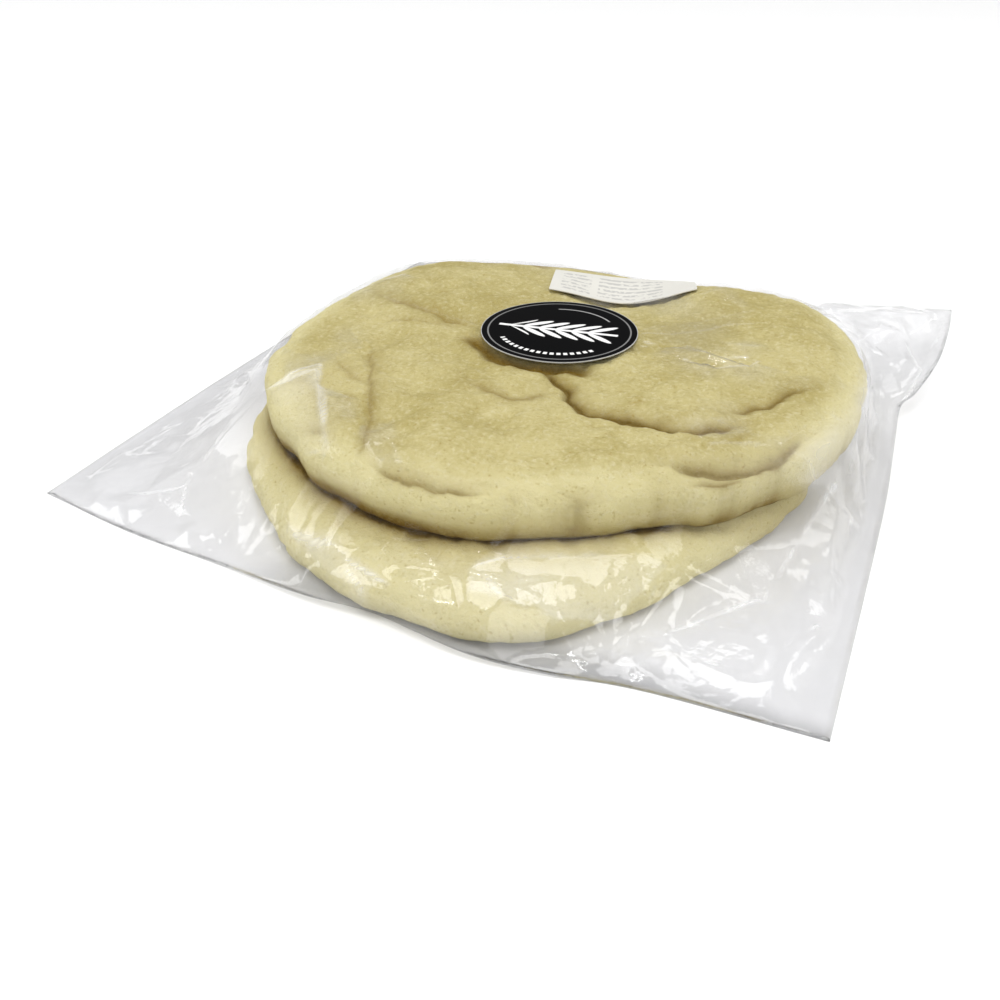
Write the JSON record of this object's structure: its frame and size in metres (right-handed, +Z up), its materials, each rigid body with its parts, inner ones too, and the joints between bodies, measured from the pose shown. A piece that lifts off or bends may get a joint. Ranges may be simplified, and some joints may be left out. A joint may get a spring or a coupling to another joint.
{
  "type": "bagged pita bread",
  "caption": "Soft round pita breads lying one on the other in a clear flat film bag, with a round dark seal and a white paper label on the film.",
  "frame": {"origin": "under the middle of the whole bag, on the surface that it lies on", "axes": "+X along the bag's front edge to the right, +Y from the front edge to the back edge, +Z up"},
  "size_m": [0.2634, 0.2618, 0.0376],
  "materials": {
    "bag_and_bread": "clear thin film over soft pale bread",
    "seal_paper": "gloss laminated paper",
    "label_paper": "smooth white thermal paper"
  },
  "bodies": {
    "root": {"bag": "bag_and_bread", "seal": "seal_paper", "label": "label_paper"}
  },
  "joints": []
}
